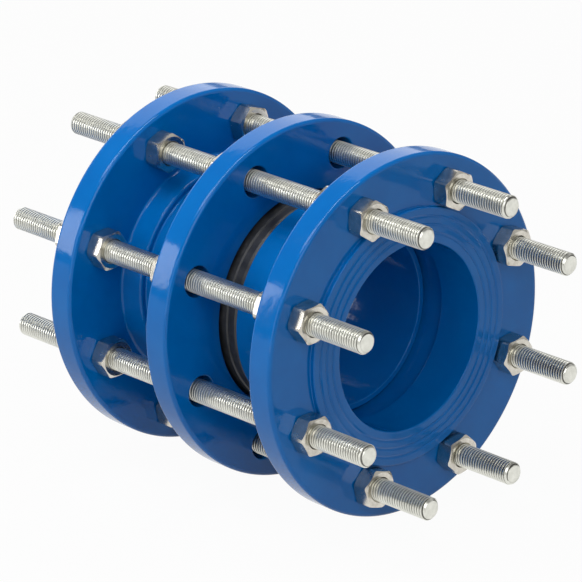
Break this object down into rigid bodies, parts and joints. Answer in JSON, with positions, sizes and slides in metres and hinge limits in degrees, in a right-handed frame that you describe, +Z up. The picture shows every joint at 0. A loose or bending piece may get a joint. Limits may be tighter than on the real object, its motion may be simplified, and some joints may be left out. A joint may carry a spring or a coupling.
{
  "type": "dismantling joint",
  "caption": "Flanged pipe dismantling joint: a spigot slides in a body casting, sealed by a wedge gasket behind a loose gland ring and locked by threaded tie rods with hexagon nuts.",
  "frame": {"origin": "centre of the raised face of the body flange", "axes": "+X along the pipe, out of the body flange; +Z up; the bolt holes straddle the vertical and horizontal centre lines"},
  "size_m": [0.3, 0.22, 0.22],
  "materials": {
    "blue_epoxy": "glossy blue fusion-bonded epoxy on ductile iron",
    "epdm_rubber": "smooth black rubber",
    "rod_steel": "bright stainless steel, threaded",
    "nut_steel": "bright stainless steel, forged flats"
  },
  "bodies": {
    "body": {"body": "blue_epoxy", "gasket": "epdm_rubber", "tie_rod_1": "rod_steel", "tie_rod_2": "rod_steel", "tie_rod_3": "rod_steel", "tie_rod_4": "rod_steel", "tie_rod_5": "rod_steel", "tie_rod_6": "rod_steel", "tie_rod_7": "rod_steel", "tie_rod_8": "rod_steel", "body_outer_nut_1": "nut_steel", "body_outer_nut_2": "nut_steel", "body_outer_nut_3": "nut_steel", "body_outer_nut_4": "nut_steel", "body_outer_nut_5": "nut_steel", "body_outer_nut_6": "nut_steel", "body_outer_nut_7": "nut_steel", "body_outer_nut_8": "nut_steel", "body_inner_nut_1": "nut_steel", "body_inner_nut_2": "nut_steel", "body_inner_nut_3": "nut_steel", "body_inner_nut_4": "nut_steel", "body_inner_nut_5": "nut_steel", "body_inner_nut_6": "nut_steel", "body_inner_nut_7": "nut_steel", "body_inner_nut_8": "nut_steel"},
    "spigot": {"spigot": "blue_epoxy", "spigot_inner_nut_1": "nut_steel", "spigot_inner_nut_2": "nut_steel", "spigot_inner_nut_3": "nut_steel", "spigot_inner_nut_4": "nut_steel", "spigot_inner_nut_5": "nut_steel", "spigot_inner_nut_6": "nut_steel", "spigot_inner_nut_7": "nut_steel", "spigot_inner_nut_8": "nut_steel", "spigot_outer_nut_1": "nut_steel", "spigot_outer_nut_2": "nut_steel", "spigot_outer_nut_3": "nut_steel", "spigot_outer_nut_4": "nut_steel", "spigot_outer_nut_5": "nut_steel", "spigot_outer_nut_6": "nut_steel", "spigot_outer_nut_7": "nut_steel", "spigot_outer_nut_8": "nut_steel"},
    "gland": {"gland_ring": "blue_epoxy", "gland_nut_1": "nut_steel", "gland_nut_2": "nut_steel", "gland_nut_3": "nut_steel", "gland_nut_4": "nut_steel", "gland_nut_5": "nut_steel", "gland_nut_6": "nut_steel", "gland_nut_7": "nut_steel", "gland_nut_8": "nut_steel"}
  },
  "joints": [
    {"name": "spigot_slide", "type": "slide", "parent": "body", "child": "spigot", "axis": [-1, 0, 0], "range_m": [-0.014, 0.02]},
    {"name": "gland_slide", "type": "slide", "parent": "body", "child": "gland", "axis": [-1, 0, 0], "range_m": [0, 0.025]}
  ]
}
